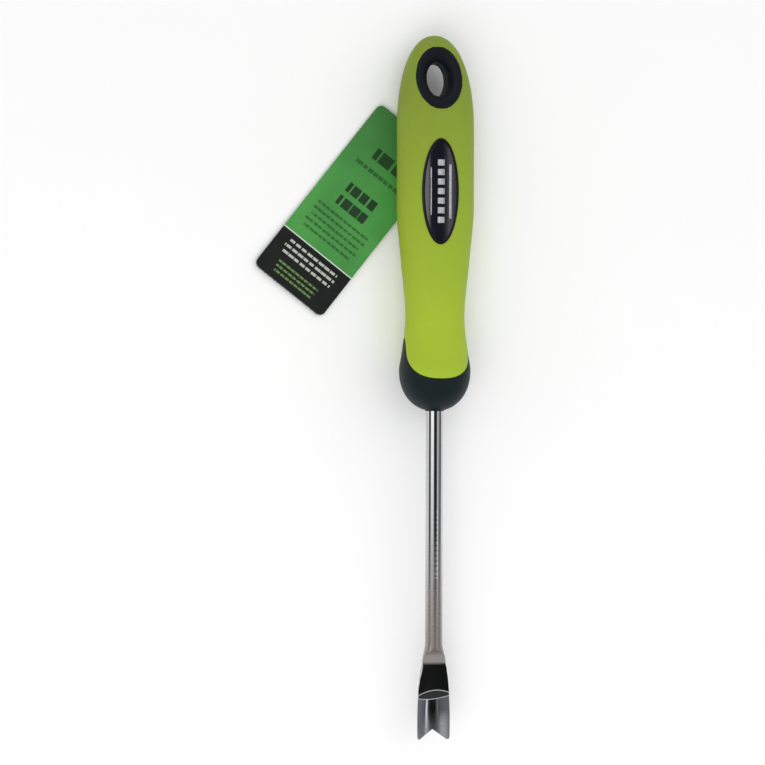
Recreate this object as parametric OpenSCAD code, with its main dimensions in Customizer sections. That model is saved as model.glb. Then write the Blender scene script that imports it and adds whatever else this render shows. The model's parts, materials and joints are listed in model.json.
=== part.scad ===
// Hand weeder: a forged stainless bar with a forked, dished blade, in a moulded two-colour grip handle,
// with a hang hole, an oval badge and a printed card tag that lies behind the grip.
//
// The origin is the middle of the hang hole. +Y runs along the tool to the top of the handle, +Z is its
// front, and the tool lies on its back. "up" values are distances along Y from the nose of the handle,
// and "rise" values are heights above the axis of the bar.

/* [Handle] */
// Length of the handle, from the nose where the bar comes out to its top
handle_len = 176; // [150:1:212]
// Width of the grip at its widest
body_w = 36.2; // [32:0.2:46]
// Thickness of the grip at its widest
body_t = 28; // [24:0.2:36]
// Width of the waist that the forefinger curls round
waist_w = 27.6; // [25:0.2:34]
// Thickness of the waist
waist_t = 24.6; // [21:0.2:29]
// Diameter of the round bolster that guards the hand
bulb_d = 33.2; // [27.6:0.2:40]
// Distance from the nose to the widest part of the bolster
bulb_up = 19; // [15:0.5:24]
// Distance from the nose to the waist
waist_up = 44; // [40:0.5:50]
// Distance from the nose to the lower end of the full-width part
swell_up = 96; // [85:1:110]
// Length of the rounded head, from the full width to the top
head_len = 44; // [38:1:52]
// How far the top of the head curves back from the axis of the bar
head_droop = 3; // [0:0.1:6]
// Length over which the head curves back
droop_len = 60; // [40:1:75]
// How square the cross-section is: 2 is an ellipse
squareness = 2.15; // [2:0.05:2.6]

/* [Grip and bolster] */
// Thickness of the soft skin over the hard core
skin_wall = 2.6; // [1.8:0.1:3.4]
// Distance from the nose to the lower end of the green lobe, at the front and back
lobe_up = 15.3; // [10:0.1:20]
// Distance from the nose to the place where the sides of the green lobe run straight
lobe_side_up = 27; // [24:0.5:32]
// How far each side of the green lobe stands outside the waist, where the dark tongues end
lobe_edge = 0.75; // [0.5:0.05:1.2]
// Thickness of the bolster's nose, in front of the core
nose_wall = 6; // [4:0.5:9]

/* [Hang hole] */
// Distance from the top of the handle to the middle of the hang hole
hole_down = 21.3; // [18:0.1:26]
// Width of the hang hole at its throat
hole_w = 9.8; // [8:0.1:12]
// Length of the hang hole at its throat
hole_l = 16; // [12:0.1:20]
// Length of the straight throat
throat_len = 7; // [4:0.5:9]
// Width of the dark eyelet round the hang hole
eyelet_w = 22.8; // [18:0.1:27]
// Length of the dark eyelet
eyelet_l = 31.3; // [26:0.1:34]
// Width of the eyelet's rim, outside the mouth of its flare
eyelet_rim = 1.7; // [1:0.1:3]

/* [Badge] */
// Distance from the nose to the middle of the badge
badge_up = 101.6; // [95:0.1:115]
// Width of the badge over its rim
badge_w = 17.4; // [12:0.1:22]
// Length of the badge over its rim
badge_l = 49; // [35:0.5:56]
// Width of the badge's rim
badge_rim = 1.3; // [0.8:0.1:2.5]
// Depth of the badge's seat in the grip
badge_seat = 1.2; // [0.8:0.1:1.6]
// Thickness of the foil marks on the badge
foil_t = 0.12; // [0.05:0.01:0.3]

/* [Bar and blade] */
// Diameter of the bar
bar_d = 8; // [6:0.1:10]
// Length of round bar between the handle's nose and the flare of the blade
bar_free = 108; // [80:1:160]
// Length of the tang inside the handle
tang_len = 104; // [70:1:115]
// Width over the tang's two crimped ears
ear_w = 12; // [10:0.1:14]
// Length of the blade, from the start of its flare to its points
blade_len = 45.4; // [38:0.1:60]
// Width of the blade near its points
blade_w = 15.4; // [13:0.1:20]
// Thickness of the blade
blade_t = 2.3; // [1.6:0.1:3]
// Distance from the start of the flare to the foot of the ramp
ramp_end = 9.4; // [8:0.1:12]
// Distance from the start of the flare to the dished part
dish_start = 22.9; // [18:0.1:28]
// Length of the slope into the dish
dish_slope = 4.4; // [3:0.1:7]
// Depth of the dish at its middle
dish_depth = 3; // [1:0.1:4.5]
// Depth of the notch between the points
notch_depth = 4.5; // [3:0.1:7]
// Width of the notch at the points
notch_w = 12.4; // [8:0.1:14]
// Radius of each point
point_r = 1.5; // [0.8:0.1:2.5]

/* [Swing tag] */
// Width of the card
tag_w = 40.6; // [30:0.1:50]
// Length of the card
tag_l = 97.5; // [60:0.1:98]
// Thickness of the card
tag_t = 0.45; // [0.3:0.05:0.6]
// Corner radius of the card
tag_corner_r = 3; // [1:0.1:6]
// Diameter of the punched hole
tag_hole_d = 4; // [3:0.1:5]
// Distance from the card's top edge to the punched hole
tag_hole_down = 6.5; // [5:0.1:9]
// Angle between the card and the tool
tag_angle = 38; // [20:0.5:60]

/* [Fits] */
// Gap between the moulded skins and the core, and between neighbouring skins
skin_gap = 0.15; // [0.1:0.01:0.2]
// Radial clearance of the tang in the core and the bolster
tang_gap = 0.05; // [0.02:0.01:0.1]

/* [Hidden] */

lime = [0.62, 0.74, 0.13];
charcoal = [0.12, 0.14, 0.15];
black = [0.04, 0.04, 0.05];
steel = [0.78, 0.78, 0.77];
card_green = [0.22, 0.55, 0.20];

sides = 40;             // points round each cross-section of the handle
ring_step = 4;          // distance between cross-sections along the grip
end_roundness = 2.15;   // exponent of the handle's two rounded ends
pole = 0.04;            // size of the small flats that close the rounded ends

// Stations of the handle between its two rounded ends: [up, half width, half thickness]
stations = [
    [bulb_up, bulb_d / 2, bulb_d / 2],
    [(2 * bulb_up + waist_up) / 3, (bulb_d + waist_w) / 4 + 0.2, (bulb_d + waist_t) / 4 + 0.2],
    [waist_up, waist_w / 2, waist_t / 2],
    [(waist_up + swell_up) / 2, (waist_w + body_w) / 4 + 0.1, (waist_t + body_t) / 4 + 0.1],
    [swell_up, body_w / 2, body_t / 2],
    [handle_len - head_len, body_w / 2, body_t / 2],
];

nose_y = hole_down - handle_len;    // Y of the handle's nose
shoulder_up = handle_len - head_len; // distance from the nose to the start of the rounded head
hole_up = handle_len - hole_down;   // distance from the nose to the middle of the hang hole
axis_z = droop(hole_up);            // Z of the bar's axis, so that the origin is mid-thickness
flare_reach = half_size(hole_up, 2) - throat_len / 2 - 1.8; // depth of each flare of the hang hole
core_base = nose_wall;              // up of the core's lower end
eyelet_proud = 0.35;                // height of the eyelet and the badge above the grip
lobe_power = 2.5;                   // how square the end of the green lobe is

// ---- shape of the handle

function signed_pow(v, p) = sign(v) * pow(abs(v), p);

// Slope of column c at station i, for a smooth curve that doesn't overshoot
function slope(i, c) =
    i == 0 || i == len(stations) - 1 ? 0 :
    let (
        before = (stations[i][c] - stations[i - 1][c]) / (stations[i][0] - stations[i - 1][0]),
        after = (stations[i + 1][c] - stations[i][c]) / (stations[i + 1][0] - stations[i][0])
    )
    before * after <= 0 ? 0 : 2 * before * after / (before + after);

function between(i, up, c) =
    let (
        a = stations[i],
        b = stations[i + 1],
        long = b[0] - a[0],
        u = (up - a[0]) / long
    )
    (1 + 2 * u) * pow(1 - u, 2) * a[c] + u * pow(1 - u, 2) * long * slope(i, c)
    + u * u * (3 - 2 * u) * b[c] - u * u * (1 - u) * long * slope(i + 1, c);

function span_at(up, i = 0) = i >= len(stations) - 2 || up <= stations[i + 1][0] ? i : span_at(up, i + 1);

function rounded_end(share) = pow(max(0, 1 - pow(share, end_roundness)), 1 / end_roundness);

// Half width (c = 1) or half thickness (c = 2) of the handle, drawn in by inset
function half_size(up, c, inset = 0) =
    up >= shoulder_up ?
        (stations[len(stations) - 1][c] - inset) * rounded_end((up - shoulder_up) / (head_len - inset)) :
    up <= bulb_up ?
        (stations[0][c] - inset) * rounded_end((bulb_up - up) / (bulb_up - inset)) :
    between(span_at(up), up, c) - inset;

// How far the middle of the cross-section lies behind the axis of the bar
function droop(up) = head_droop * pow(max(0, up - (handle_len - droop_len)) / droop_len, 2);

// Height of the cross-section's middle in the part's frame
function middle_z(up) = axis_z - droop(up);

// A point of the handle's surface; the angle runs from +X towards the back
function skin_point(up, angle, inset = 0) = [
    half_size(up, 1, inset) * signed_pow(cos(angle), 2 / squareness),
    nose_y + up,
    middle_z(up) - half_size(up, 2, inset) * signed_pow(sin(angle), 2 / squareness),
];

function level_ring(up, inset = 0) = [for (i = [0:sides - 1]) skin_point(up, i * 360 / sides, inset)];

// Heights of the cross-sections, closer together at the two rounded ends
function levels(inset) = concat(
    [for (j = [1:6]) bulb_up * (1 - cos(15 * j))],
    [for (up = [bulb_up + ring_step:ring_step:shoulder_up - 1]) up],
    [for (j = [0:9]) shoulder_up + (head_len - inset) * sin(9 * j)]
);

function rings_between(low, high, inset) = concat(
    [level_ring(low, inset)],
    [for (up = levels(inset)) if (up > low + 0.4 && up < high - 0.2) level_ring(up, inset)],
    [level_ring(high, inset)]
);

// A closed solid through a list of rings with the same number of points, capped at both ends
module skin(rings) {
    n = len(rings[0]);
    points = [for (r = rings) each r];
    walls = [
        for (j = [0:len(rings) - 2], i = [0:n - 1])
            let (a = j * n + i, b = j * n + (i + 1) % n)
            each [[a, a + n, b], [b, a + n, b + n]]
    ];
    caps = [[for (i = [0:n - 1]) i], [for (i = [n - 1:-1:0]) (len(rings) - 1) * n + i]];
    polyhedron(points = points, faces = concat(walls, caps), convexity = 10);
}

// The handle's own solid from one height to another, drawn in by inset
module handle_solid(low, high, inset) {
    skin(rings_between(low, high, inset));
}

// The part of the plan above the seam between the green lobe and the dark tongues, drawn in by inset
module above_seam(inset) {
    half = waist_w / 2 + lobe_edge + inset;
    steps = 12;
    xs = [for (i = [-steps:steps]) sin(90 * i / steps)];
    linear_extrude(4 * body_t, center = true) polygon(concat(
        [for (x = xs)
            [x * half, nose_y - inset + lobe_side_up
                - (lobe_side_up - lobe_up) * pow(max(0, 1 - pow(abs(x), lobe_power)), 1 / lobe_power)]],
        [[half, nose_y + waist_up], [body_w, nose_y + waist_up], [body_w, 2 * hole_down]],
        [[-body_w, 2 * hole_down], [-body_w, nose_y + waist_up], [-half, nose_y + waist_up]]
    ));
}

// ---- the hang hole and the badge, as cutters

function oval_ring(w, l, n = 44) = [
    for (i = [0:n - 1])
        let (a = (i + 0.5) * 360 / n)
        [w / 2 * cos(a), l / 2 * sin(a)]
];

module oval_bar(w, l, reach) {
    linear_extrude(2 * reach, center = true) polygon(oval_ring(w, l));
}

// Growth of the hole's flare, from 0 at the throat to 1 at its full depth
function flare(depth) = let (u = min(1, depth / flare_reach)) 1 - sqrt(1 - u * u);

// The hole itself: a straight throat with a rounded flare at each end
module hole_cutter() {
    grow_w = eyelet_w - 2 * eyelet_rim - hole_w;
    grow_l = eyelet_l - 2 * eyelet_rim - hole_l;
    shares = [1, 0.97, 0.87, 0.71, 0.5, 0.25, 0];
    depths = concat(
        [-2 * body_t],
        [for (u = shares) -throat_len / 2 - u * flare_reach],
        [for (i = [len(shares) - 1:-1:0]) throat_len / 2 + shares[i] * flare_reach],
        [2 * body_t]
    );
    skin([
        for (d = depths)
            let (f = flare(max(0, abs(d) - throat_len / 2)))
            [for (p = oval_ring(hole_w + f * grow_w, hole_l + f * grow_l)) [p[0], p[1], d]]
    ]);
}

module badge_oval(w, l) {
    translate([0, nose_y + badge_up, axis_z]) linear_extrude(body_t) polygon(oval_ring(w, l));
}

// The handle's solid round the badge, longer than the badge
module badge_ground(inset) {
    handle_solid(badge_up - badge_l / 2 - 3, badge_up + badge_l / 2 + 3, inset);
}

// ---- the moulded handle

module handle_core() {
    color(charcoal) difference() {
        handle_solid(core_base, handle_len - skin_wall - pole, skin_wall);
        tang(tang_gap, 1);
        oval_bar(eyelet_w + 2 * skin_gap, eyelet_l + 2 * skin_gap, body_t);
    }
}

module grip_sleeve() {
    inner = skin_wall - skin_gap;
    color(lime) difference() {
        intersection() {
            handle_solid(core_base, handle_len - pole, 0);
            above_seam(0);
        }
        handle_solid(core_base - 1, handle_len - inner - pole, inner);
        oval_bar(eyelet_w + 2 * skin_gap, eyelet_l + 2 * skin_gap, body_t);
        difference() {
            badge_oval(badge_w + 2 * skin_gap, badge_l + 2 * skin_gap);
            badge_ground(badge_seat + skin_gap);
        }
    }
}

module end_bolster() {
    inner = skin_wall - skin_gap;
    color(charcoal) difference() {
        handle_solid(pole, waist_up, 0);
        handle_solid(core_base - skin_gap, waist_up + 3, inner);
        above_seam(skin_gap);
        tang(tang_gap, 1);
    }
}

module hang_eyelet() {
    color(charcoal) difference() {
        intersection() {
            oval_bar(eyelet_w, eyelet_l, body_t);
            handle_solid(shoulder_up - 2, handle_len + eyelet_proud - pole, -eyelet_proud);
        }
        hole_cutter();
    }
}

// ---- the badge

module badge_bezel() {
    color(charcoal) difference() {
        intersection() {
            badge_oval(badge_w, badge_l);
            badge_ground(-eyelet_proud);
        }
        badge_oval(badge_w - 2 * badge_rim, badge_l - 2 * badge_rim);
        badge_ground(badge_seat);
    }
}

module badge_plate() {
    plate_w = badge_w - 2 * badge_rim - skin_gap;
    plate_l = badge_l - 2 * badge_rim - skin_gap;
    color(black) difference() {
        intersection() {
            badge_oval(plate_w, plate_l);
            badge_ground(-eyelet_proud / 2);
        }
        badge_ground(badge_seat);
    }
}

// Plain foil marks: a row of blocks along the middle, with a thin bar and a broad bar beside it
module badge_foil() {
    block = [3.2, 2.8];
    block_step = 4.4;
    blocks = 7;
    color(steel) difference() {
        intersection() {
            union() {
                for (i = [0:blocks - 1])
                    foil_mark(0, (i - (blocks - 1) / 2) * block_step, block);
                foil_mark(-4.6, 0, [0.5, 22]);
                foil_mark(4.4, 0, [1.2, 25]);
            }
            badge_ground(-eyelet_proud / 2 - foil_t);
        }
        badge_ground(-eyelet_proud / 2 - 0.01);
    }
}

// A column over the badge, at x and y from its middle
module foil_mark(x, y, size) {
    translate([x - size[0] / 2, nose_y + badge_up + y - size[1] / 2, axis_z])
        cube([size[0], size[1], body_t]);
}

// ---- the forged bar

blade_y = nose_y - bar_free;        // Y of the start of the flare
plate_top = 0.4;                    // rise of the flat blade's front face
ramp_start = 2.8;                   // distance from the start of the flare to the head of the ramp
blade_sides = 32;

// Cross-sections of the blade:
// [down from the start of the flare, half width, front rise, back rise, squareness]
blade_stations = [
    [-0.6, bar_d / 2 * 0.93, bar_d / 2 * 0.93, -bar_d / 2 * 0.93, 2],
    [0.6, bar_d / 2 * 1.02, bar_d / 2 * 1.02, -bar_d / 2 * 1.02, 2],
    [2.4, bar_d / 2 * 1.06, bar_d / 2 * 0.98, -bar_d / 2 * 0.95, 2.05],
    [4.4, bar_d / 2 * 1.17, bar_d / 2 * 0.94, -bar_d / 2 * 0.85, 2.15],
    [6.6, blade_w / 2 * 0.67, bar_d / 2 * 0.85, -bar_d / 2 * 0.72, 2.4],
    [ramp_end, blade_w / 2 * 0.72, bar_d / 2 * 0.6, plate_top - blade_t - 0.3, 3],
    [ramp_end + 4, blade_w / 2 * 0.82, plate_top + 0.3, plate_top - blade_t, 4],
    [ramp_end + 8, blade_w / 2 * 0.89, plate_top + 0.3, plate_top - blade_t, 5],
    [dish_start, blade_w / 2 * 0.95, plate_top + 0.3, plate_top - blade_t, 5],
];

// The blade's front is flat before the dish, and bends to the full dish over its slope
function dish_share(down) =
    let (u = max(0, min(1, (down - dish_start) / dish_slope))) u * u * (3 - 2 * u);

function bar_ring(half_w, front, back, square, down, bend = 0) = [
    for (i = [0:blade_sides - 1])
        let (
            a = i * 360 / blade_sides,
            x = half_w * signed_pow(cos(a), 2 / square),
            z = (front + back) / 2 + (front - back) / 2 * signed_pow(sin(a), 2 / square)
        )
        [x, blade_y - down, axis_z + z - bend * (1 - pow(x / half_w, 2))]
];

dished_rings = [
    for (j = [0:12])
        let (
            down = dish_start + 0.01 + (blade_len + 0.5 - dish_start) * pow(j / 12, 1.4),
            half_w = blade_w / 2 * (0.95 + 0.05 * min(1, (down - dish_start) / 10))
        )
        bar_ring(half_w, plate_top, plate_top - blade_t, 5, down, dish_depth * dish_share(down))
];

// The outline of the two points and the notch, seen from the front
module points_outline() {
    wide = blade_w / 2 - 0.1;
    difference() {
        union() {
            translate([-blade_w, -blade_len + point_r]) square([2 * blade_w, blade_len + bar_free]);
            translate([-wide + point_r, -blade_len]) square([2 * (wide - point_r), 2 * point_r]);
            for (side = [-1, 1])
                translate([side * (wide - point_r), -blade_len + point_r]) circle(r = point_r, $fn = 48);
        }
        polygon([
            [0, -blade_len + notch_depth],
            [-notch_w / 2, -blade_len],
            [-notch_w / 2, -blade_len - 1],
            [notch_w / 2, -blade_len - 1],
            [notch_w / 2, -blade_len],
        ]);
    }
}

module blade() {
    difference() {
        intersection() {
            skin(concat(
                [for (s = blade_stations) bar_ring(s[1], s[2], s[3], s[4], s[0])],
                dished_rings
            ));
            translate([0, blade_y, -body_t]) linear_extrude(2 * body_t) points_outline();
        }
        translate([-blade_w, blade_y, axis_z]) rotate([90, 0, 90]) linear_extrude(2 * blade_w)
            polygon([
                [-ramp_start, bar_d / 2 + 0.2],
                [-ramp_end, plate_top],
                [-dish_start - 0.02, plate_top],
                [-dish_start - 0.02, bar_d],
                [-ramp_start, bar_d],
            ]);
    }
}

// The bar in the handle with its two crimped ears, grown by gap, from its end to a reach below the nose
module tang(gap, reach) {
    ear_len = 9;
    ear_t = 3;
    ear_up = tang_len - 22;
    translate([0, nose_y + tang_len + gap, axis_z])
        rotate([90, 0, 0]) cylinder(d = bar_d + 2 * gap, h = tang_len + gap + reach, $fn = 64);
    translate([-ear_w / 2 - gap, nose_y + ear_up - gap, axis_z - ear_t / 2 - gap])
        cube([ear_w + 2 * gap, ear_len + 2 * gap, ear_t + 2 * gap]);
}

module forged_bar() {
    color(steel) union() {
        tang(0, bar_free + 0.45);
        blade();
    }
}

// ---- the swing tag

tag_hole_x = -11.8;                 // X of the punched hole
tag_hole_y = -26.9;                 // Y of the punched hole
card_gap = 0.3;                     // room between the card and the eyelet's rim, which stands proud
eyelet_ups = [for (i = [-4:4]) hole_up + i / 8 * eyelet_l];
// Z of the furthest back that the head reaches along the eyelet
grip_back = min([for (up = eyelet_ups) middle_z(up) - half_size(up, 2)]);
tag_z = grip_back - eyelet_proud - card_gap - tag_t; // Z of the card's underside

module tag_card() {
    w = tag_w - 2 * tag_corner_r;
    l = tag_l - 2 * tag_corner_r;
    color(card_green)
        translate([tag_hole_x, tag_hole_y, tag_z]) rotate([0, 0, -tag_angle])
        linear_extrude(tag_t) difference() {
            union() {
                translate([-tag_w / 2, tag_hole_down - tag_l + tag_corner_r]) square([tag_w, l]);
                translate([-w / 2, tag_hole_down - tag_l]) square([w, tag_l]);
                for (x = [-w / 2, w / 2], y = [tag_corner_r, tag_l - tag_corner_r])
                    translate([x, tag_hole_down - y]) circle(r = tag_corner_r, $fn = 48);
            }
            circle(d = tag_hole_d, $fn = 48);
        }
}

forged_bar();
handle_core();
grip_sleeve();
end_bolster();
hang_eyelet();
badge_bezel();
badge_plate();
badge_foil();
tag_card();
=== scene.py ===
import json
import math

import bmesh
import bpy
from mathutils import Matrix, Vector


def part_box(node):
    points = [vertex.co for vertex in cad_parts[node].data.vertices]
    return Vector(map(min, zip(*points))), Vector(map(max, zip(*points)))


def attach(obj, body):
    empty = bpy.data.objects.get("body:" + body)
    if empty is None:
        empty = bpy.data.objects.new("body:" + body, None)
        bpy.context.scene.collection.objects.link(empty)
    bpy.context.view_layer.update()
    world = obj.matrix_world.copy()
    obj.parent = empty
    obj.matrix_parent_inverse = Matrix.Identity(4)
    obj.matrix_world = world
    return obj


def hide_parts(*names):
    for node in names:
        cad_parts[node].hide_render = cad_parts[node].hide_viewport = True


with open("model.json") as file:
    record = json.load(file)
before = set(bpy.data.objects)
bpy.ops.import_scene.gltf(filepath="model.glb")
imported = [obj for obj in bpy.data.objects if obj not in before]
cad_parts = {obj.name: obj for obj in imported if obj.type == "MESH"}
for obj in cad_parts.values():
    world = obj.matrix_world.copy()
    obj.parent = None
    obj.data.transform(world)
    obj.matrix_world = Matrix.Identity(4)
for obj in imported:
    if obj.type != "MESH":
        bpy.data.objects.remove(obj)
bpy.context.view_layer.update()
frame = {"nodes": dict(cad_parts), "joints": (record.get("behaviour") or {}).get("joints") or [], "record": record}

# Everything below is worked out in millimetres of the part's frame: +Y up the tool, +Z out of its front
boxes = {n: [[c * 1000 for c in corner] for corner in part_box(n)] for n in frame["nodes"]}
mounts = {m["name"]: m for m in frame["record"]["mounts"]}
tagHinge = [c * 1000 for c in frame["joints"][0]["pos_m"]]
axisZ = mounts["bar"]["pos_m"][2] * 1000
barRadius = mounts["bar"]["dims"]["r_mm"]

handle = {
    "noseY": boxes["end_bolster"][0][1] - 0.4,
    "topY": boxes["grip_sleeve"][1][1],
    "bodyHalfWidth": boxes["grip_sleeve"][1][0],
    "bodyHalfThick": 14.0,
    "waistHalfWidth": 13.8,
    "waistHalfThick": 12.3,
    "bulbRadius": boxes["end_bolster"][1][0],
    "bulbUp": 19.0,
    "waistUp": 44.0,
    "swellUp": 96.0,
    "headLength": 44.0,
    "droop": 3.0,
    "droopLength": 60.0,
    "squareness": 2.15,
    "around": 144,
}
handle["length"] = handle["topY"] - handle["noseY"]
handle["shoulderUp"] = handle["length"] - handle["headLength"]


def signedPow(v, p):
    return math.copysign(abs(v) ** p, v)


def smoothStep(t):
    t = max(0.0, min(1.0, t))
    return t * t * (3 - 2 * t)


def gaussian(d, width):
    return math.exp(-(d / width) ** 2)


def joinRings(bm, a, b):
    for i in range(len(a)):
        j = (i + 1) % len(a)
        bm.faces.new((a[i], a[j], b[j], b[i]))


def addRings(bm, rings, capStart=False, capEnd=False, wrap=False):
    # Quads between rings of points, and from the last back to the first if wrap; returns the rows of vertices
    rows = [[bm.verts.new([c / 1000 for c in p]) for p in ring] for ring in rings]
    for a, b in zip(rows, rows[1:]):
        joinRings(bm, a, b)
    if wrap:
        joinRings(bm, rows[-1], rows[0])
    if capStart:
        bm.faces.new(list(reversed(rows[0])))
    if capEnd:
        bm.faces.new(rows[-1])
    return rows


def makePiece(name, bm, material, body, node):
    bmesh.ops.recalc_face_normals(bm, faces=bm.faces)
    mesh = bpy.data.meshes.new(name)
    bm.to_mesh(mesh)
    bm.free()
    for p in mesh.polygons:
        p.use_smooth = True
    obj = bpy.data.objects.new(name, mesh)
    bpy.context.scene.collection.objects.link(obj)
    obj.data.materials.append(material)
    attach(obj, body)
    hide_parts(node)
    return obj


def handleStations():
    h = handle
    bulb, waistW, waistT = h["bulbRadius"], h["waistHalfWidth"], h["waistHalfThick"]
    bodyW, bodyT = h["bodyHalfWidth"], h["bodyHalfThick"]
    return [
        (h["bulbUp"], bulb, bulb),
        ((2 * h["bulbUp"] + h["waistUp"]) / 3, (bulb + waistW) / 2 + 0.2, (bulb + waistT) / 2 + 0.2),
        (h["waistUp"], waistW, waistT),
        ((h["waistUp"] + h["swellUp"]) / 2, (waistW + bodyW) / 2 + 0.1, (waistT + bodyT) / 2 + 0.1),
        (h["swellUp"], bodyW, bodyT),
        (h["shoulderUp"], bodyW, bodyT),
    ]


stations = handleStations()


def slopeAt(i, c):
    if i in (0, len(stations) - 1):
        return 0.0
    before = (stations[i][c] - stations[i - 1][c]) / (stations[i][0] - stations[i - 1][0])
    after = (stations[i + 1][c] - stations[i][c]) / (stations[i + 1][0] - stations[i][0])
    return 0.0 if before * after <= 0 else 2 * before * after / (before + after)


def roundedEnd(share):
    p = handle["squareness"]
    return max(0.0, 1 - abs(share) ** p) ** (1 / p)


def halfSize(up, c, inset=0.0):
    h = handle
    if up >= h["shoulderUp"]:
        share = (up - h["shoulderUp"]) / (h["headLength"] - inset)
        return (stations[-1][c] - inset) * roundedEnd(min(1.0, share))
    if up <= h["bulbUp"]:
        share = (h["bulbUp"] - up) / (h["bulbUp"] - inset)
        return (stations[0][c] - inset) * roundedEnd(min(1.0, share))
    i = max(k for k in range(len(stations) - 1) if stations[k][0] <= up)
    a, b = stations[i], stations[i + 1]
    span = b[0] - a[0]
    u = (up - a[0]) / span
    return ((1 + 2 * u) * (1 - u) ** 2 * a[c] + u * (1 - u) ** 2 * span * slopeAt(i, c)
            + u * u * (3 - 2 * u) * b[c] - u * u * (1 - u) * span * slopeAt(i + 1, c) - inset)


def middleZ(up):
    h = handle
    over = max(0.0, up - (h["length"] - h["droopLength"])) / h["droopLength"]
    return axisZ - h["droop"] * over * over


def skinPoint(up, angle, inset=0.0):
    # A point of the handle's surface; the angle runs from +X towards the front
    p = 2 / handle["squareness"]
    return [
        halfSize(up, 1, inset) * signedPow(math.cos(angle), p),
        handle["noseY"] + up,
        middleZ(up) + halfSize(up, 2, inset) * signedPow(math.sin(angle), p),
    ]


def surfaceZ(x, y, side=1):
    # Height of the handle's front (side 1) or back (side -1) at x, y
    up = y - handle["noseY"]
    p = handle["squareness"]
    share = min(1.0, abs(x) / max(halfSize(up, 1), 1e-6))
    return middleZ(up) + side * halfSize(up, 2) * max(0.0, 1 - share ** p) ** (1 / p)


eyelet = {
    "halfWidth": boxes["hang_eyelet"][1][0],
    "halfLength": boxes["hang_eyelet"][1][1],
    "rim": 1.9,
    "throatHalfWidth": 4.9,
    "throatHalfLength": 8.0,
    "throatDepth": 3.5,
    "proud": 0.3,
    "halo": 0.45,
    "haloWidth": 1.9,
}
badge = {
    "halfWidth": boxes["badge_bezel"][1][0],
    "halfLength": (boxes["badge_bezel"][1][1] - boxes["badge_bezel"][0][1]) / 2,
    "middleY": (boxes["badge_bezel"][1][1] + boxes["badge_bezel"][0][1]) / 2,
    "rim": 1.3,
    "proud": 0.42,
    "dome": 0.35,
    "groove": 0.25,
}


def ovalShare(x, y, piece, middleY=0.0):
    return math.hypot(x / piece["halfWidth"], (y - middleY) / piece["halfLength"])


def surfaceRise(x, y, z):
    # Height of the soft swell round the eyelet and of the groove round the badge
    s = ovalShare(x, y, eyelet)
    rise = 0.0
    if s < 2:
        rise += eyelet["halo"] * gaussian((s - 1.04) * eyelet["halfWidth"], eyelet["haloWidth"])
    if z > axisZ:
        t = ovalShare(x, y, badge, badge["middleY"])
        if t < 2:
            rise -= badge["groove"] * gaussian((t - 1) * badge["halfWidth"], 0.35)
    return rise


seam = {"lobeUp": 15.3, "sideUp": 27.0, "edge": 0.75, "power": 2.5, "gap": 0.12, "roll": 0.4}


def seamUp(angle):
    # Bisects for the place where the surface at this angle passes from the dark bolster to the green lobe
    half, power = handle["waistHalfWidth"] + seam["edge"], seam["power"]
    low, high = 2.0, handle["waistUp"]
    for _ in range(40):
        up = (low + high) / 2
        x = abs(skinPoint(up, angle)[0]) / half
        depth = (seam["sideUp"] - seam["lobeUp"]) * max(0.0, 1 - min(1.0, x) ** power) ** (1 / power)
        if x > 1 or up < seam["sideUp"] - depth:
            low = up
        else:
            high = up
    return high


angles = [2 * math.pi * i / handle["around"] for i in range(handle["around"])]
seams = [seamUp(a) for a in angles]


def outwardAt(up, angle):
    # Unit vector across the handle, away from its middle
    a, b = skinPoint(up, angle), skinPoint(up, angle, 0.5)
    d = Vector(a) - Vector(b)
    return d.normalized() if d.length > 1e-6 else Vector((0, 1, 0))


class Graph:
    # A node tree that is being filled, with short calls for the nodes used here

    def __init__(self, tree):
        self.tree = tree
        self.nodes = tree.nodes
        self.links = tree.links

    def add(self, kind, values=None, **props):
        node = self.nodes.new(kind)
        for k, v in props.items():
            setattr(node, k, v)
        for k, v in (values or {}).items():
            self.put(node.inputs[k], v)
        return node

    def put(self, socket, value):
        if isinstance(value, bpy.types.NodeSocket):
            self.links.new(value, socket)
        else:
            socket.default_value = value

    def math(self, operation, a, b=0.0, c=0.0, clamp=False):
        node = self.add("ShaderNodeMath", operation=operation, use_clamp=clamp)
        for i, v in enumerate((a, b, c)):
            self.put(node.inputs[i], v)
        return node.outputs[0]

    def mix(self, factor, a, b):
        node = self.add("ShaderNodeMix", data_type="RGBA")
        self.put(node.inputs["Factor"], factor)
        self.put(node.inputs[6], a)
        self.put(node.inputs[7], b)
        return node.outputs[2]

    def mapRange(self, value, fromLow, fromHigh, toLow, toHigh):
        node = self.add("ShaderNodeMapRange", {"Value": value, "From Min": fromLow, "From Max": fromHigh,
                                               "To Min": toLow, "To Max": toHigh})
        return node.outputs[0]

    def noise(self, vector, scale, detail=2.0, roughness=0.5):
        node = self.add("ShaderNodeTexNoise", {"Vector": vector, "Scale": scale, "Detail": detail,
                                               "Roughness": roughness})
        return node.outputs[0]

    def scaled(self, vector, scale):
        node = self.add("ShaderNodeMapping", {"Vector": vector, "Scale": scale})
        return node.outputs[0]

    def objectCoords(self):
        return self.add("ShaderNodeTexCoord").outputs["Object"]

    def split(self, vector):
        return self.add("ShaderNodeSeparateXYZ", {"Vector": vector}).outputs


def newGroup(name, inputs, outputs):
    tree = bpy.data.node_groups.new(name, "ShaderNodeTree")
    for socketName, kind, default in inputs:
        s = tree.interface.new_socket(socketName, in_out="INPUT", socket_type=kind)
        if default is not None:
            s.default_value = default
    for socketName, kind in outputs:
        tree.interface.new_socket(socketName, in_out="OUTPUT", socket_type=kind)
    g = Graph(tree)
    return g, g.add("NodeGroupInput").outputs, g.add("NodeGroupOutput").inputs


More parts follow.
